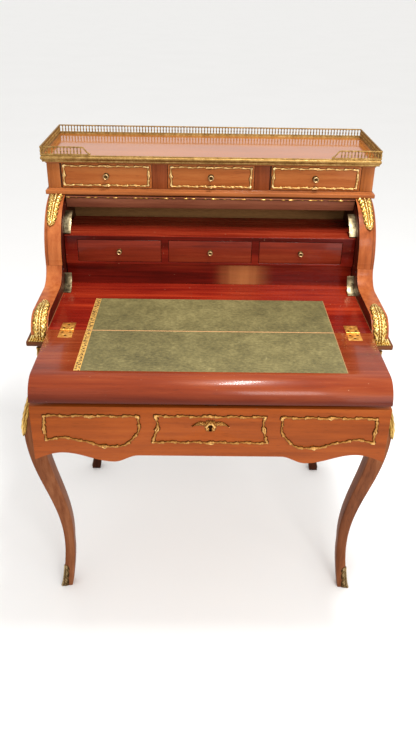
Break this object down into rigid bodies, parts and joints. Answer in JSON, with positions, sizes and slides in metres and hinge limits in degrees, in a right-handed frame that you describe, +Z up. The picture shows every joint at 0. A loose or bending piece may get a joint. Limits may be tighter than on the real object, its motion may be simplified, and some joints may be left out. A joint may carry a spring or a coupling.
{
  "type": "roll top desk",
  "caption": "Cylinder-fall writing desk on cabriole legs, with a fold-over leather-lined flap, a frieze drawer, interior and upper drawers and a pierced gallery.",
  "frame": {"origin": "on the floor, at the middle of the footprint of the opened desk", "axes": "+Z up, +X to the sitter's right, +Y towards the back of the desk"},
  "size_m": [0.846, 0.781, 1.0765],
  "materials": {
    "case_mahogany": "polished figured mahogany, warm orange brown",
    "leg_mahogany": "polished mahogany, darker brown",
    "writing_mahogany": "French-polished red mahogany, glossy",
    "interior_mahogany": "French-polished deep red mahogany",
    "front_mahogany": "polished mahogany veneer, horizontal grain",
    "lining_wood": "plain oiled secondary wood",
    "green_leather": "worn olive green writing leather, gold-tooled edge",
    "gilt_brass": "cast and gilt, matt in the hollows and bright on the edges",
    "aged_brass": "unlacquered brass, dulled",
    "hinge_brass": "polished brass",
    "lock_steel": "filed steel"
  },
  "bodies": {
    "case": {"ledge_board": "case_mahogany", "front_rail": "case_mahogany", "back_apron": "case_mahogany", "side_aprons": "case_mahogany", "left_scroll": "case_mahogany", "right_scroll": "case_mahogany", "left_cheek": "case_mahogany", "right_cheek": "case_mahogany", "upper_floor": "case_mahogany", "upper_sides": "case_mahogany", "upper_dividers": "case_mahogany", "upper_top": "case_mahogany", "front_left_leg": "leg_mahogany", "front_right_leg": "leg_mahogany", "back_left_leg": "leg_mahogany", "back_right_leg": "leg_mahogany", "writing_bed": "writing_mahogany", "inner_case": "interior_mahogany", "recess_panel": "interior_mahogany", "drawer_guides": "lining_wood", "case_back": "lining_wood", "rear_leather": "green_leather", "sabots": "gilt_brass", "knee_mounts": "gilt_brass", "upper_acanthus": "gilt_brass", "lower_acanthus": "gilt_brass", "edge_moulding": "aged_brass", "gallery": "aged_brass", "brass_tracks": "aged_brass", "bed_hinge_leaves": "hinge_brass", "bed_hinge_screws": "hinge_brass", "hinge_pins": "hinge_brass"},
    "flap": {"flap_board": "writing_mahogany", "flap_leather": "green_leather", "flap_hinge_leaves": "hinge_brass", "flap_hinge_screws": "hinge_brass"},
    "fall": {"cylinder_shell": "front_mahogany", "cylinder_rail": "front_mahogany", "cylinder_trim": "gilt_brass"},
    "frieze_drawer": {"frieze_front": "front_mahogany", "frieze_box": "lining_wood", "frieze_frames": "gilt_brass", "escutcheon": "gilt_brass", "lock_case": "lock_steel"},
    "bolt": {"lock_bolt": "lock_steel"},
    "upper_left": {"upper_left_drawer": "front_mahogany", "upper_left_frame": "gilt_brass", "upper_left_knob": "hinge_brass"},
    "inner_left": {"inner_left_drawer": "interior_mahogany", "inner_left_knob": "hinge_brass"},
    "upper_middle": {"upper_middle_drawer": "front_mahogany", "upper_middle_frame": "gilt_brass", "upper_middle_knob": "hinge_brass"},
    "inner_middle": {"inner_middle_drawer": "interior_mahogany", "inner_middle_knob": "hinge_brass"},
    "upper_right": {"upper_right_drawer": "front_mahogany", "upper_right_frame": "gilt_brass", "upper_right_knob": "hinge_brass"},
    "inner_right": {"inner_right_drawer": "interior_mahogany", "inner_right_knob": "hinge_brass"}
  },
  "joints": [
    {"name": "flap_hinge", "type": "hinge", "parent": "case", "child": "flap", "pos_m": [0, -0.16847, 0.7662], "axis": [1, 0, 0], "range_deg": [-180, 0]},
    {"name": "fall_turn", "type": "hinge", "parent": "case", "child": "fall", "pos_m": [0, 0.16153, 0.842], "axis": [-1, 0, 0], "range_deg": [-94.5, 0]},
    {"name": "frieze_slide", "type": "slide", "parent": "case", "child": "frieze_drawer", "axis": [0, -1, 0], "range_m": [-0.229, 0.04]},
    {"name": "bolt_slide", "type": "slide", "parent": "frieze_drawer", "child": "bolt", "axis": [0, 0, 1], "range_m": [0, 0.007]},
    {"name": "upper_left_slide", "type": "slide", "parent": "case", "child": "upper_left", "axis": [0, -1, 0], "range_m": [0, 0.16]},
    {"name": "upper_middle_slide", "type": "slide", "parent": "case", "child": "upper_middle", "axis": [0, -1, 0], "range_m": [0, 0.16]},
    {"name": "upper_right_slide", "type": "slide", "parent": "case", "child": "upper_right", "axis": [0, -1, 0], "range_m": [0, 0.16]},
    {"name": "inner_left_slide", "type": "slide", "parent": "case", "child": "inner_left", "axis": [0, -1, 0], "range_m": [0, 0.11]},
    {"name": "inner_middle_slide", "type": "slide", "parent": "case", "child": "inner_middle", "axis": [0, -1, 0], "range_m": [0, 0.11]},
    {"name": "inner_right_slide", "type": "slide", "parent": "case", "child": "inner_right", "axis": [0, -1, 0], "range_m": [0, 0.11]}
  ]
}
